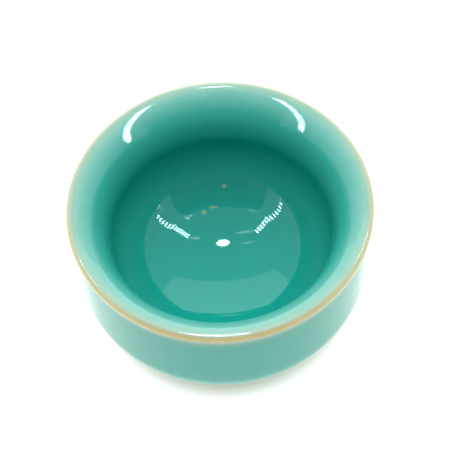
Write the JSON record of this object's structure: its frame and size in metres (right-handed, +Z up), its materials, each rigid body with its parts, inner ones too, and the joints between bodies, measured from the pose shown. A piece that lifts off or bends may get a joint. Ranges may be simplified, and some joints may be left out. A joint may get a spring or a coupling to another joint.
{
  "type": "rice bowl",
  "caption": "Thick-walled rice bowl with a flared lip, glossy celadon glaze, an amber glaze break along the rim and a turned, unglazed foot ring.",
  "frame": {"origin": "centre of the plane that the foot ring rests on", "axes": "+Z up along the bowl's axis of revolution, out of its mouth; X and Y lie in the resting plane and are alike"},
  "size_m": [0.112, 0.112, 0.0545],
  "materials": {
    "fired_clay": "bare stoneware, matt, slightly rough",
    "deep_glaze": "thick celadon glaze, glossy, deep teal",
    "amber_glaze": "thin glaze broken to amber over the edge, glossy",
    "pale_glaze": "celadon glaze, glossy, pale teal",
    "well_glaze": "thinner celadon glaze in the foot well, glossy"
  },
  "bodies": {
    "root": {"clay_body": "fired_clay", "inner_glaze": "deep_glaze", "lip_glaze": "amber_glaze", "outer_glaze": "pale_glaze", "foot_well_glaze": "well_glaze"}
  },
  "joints": []
}
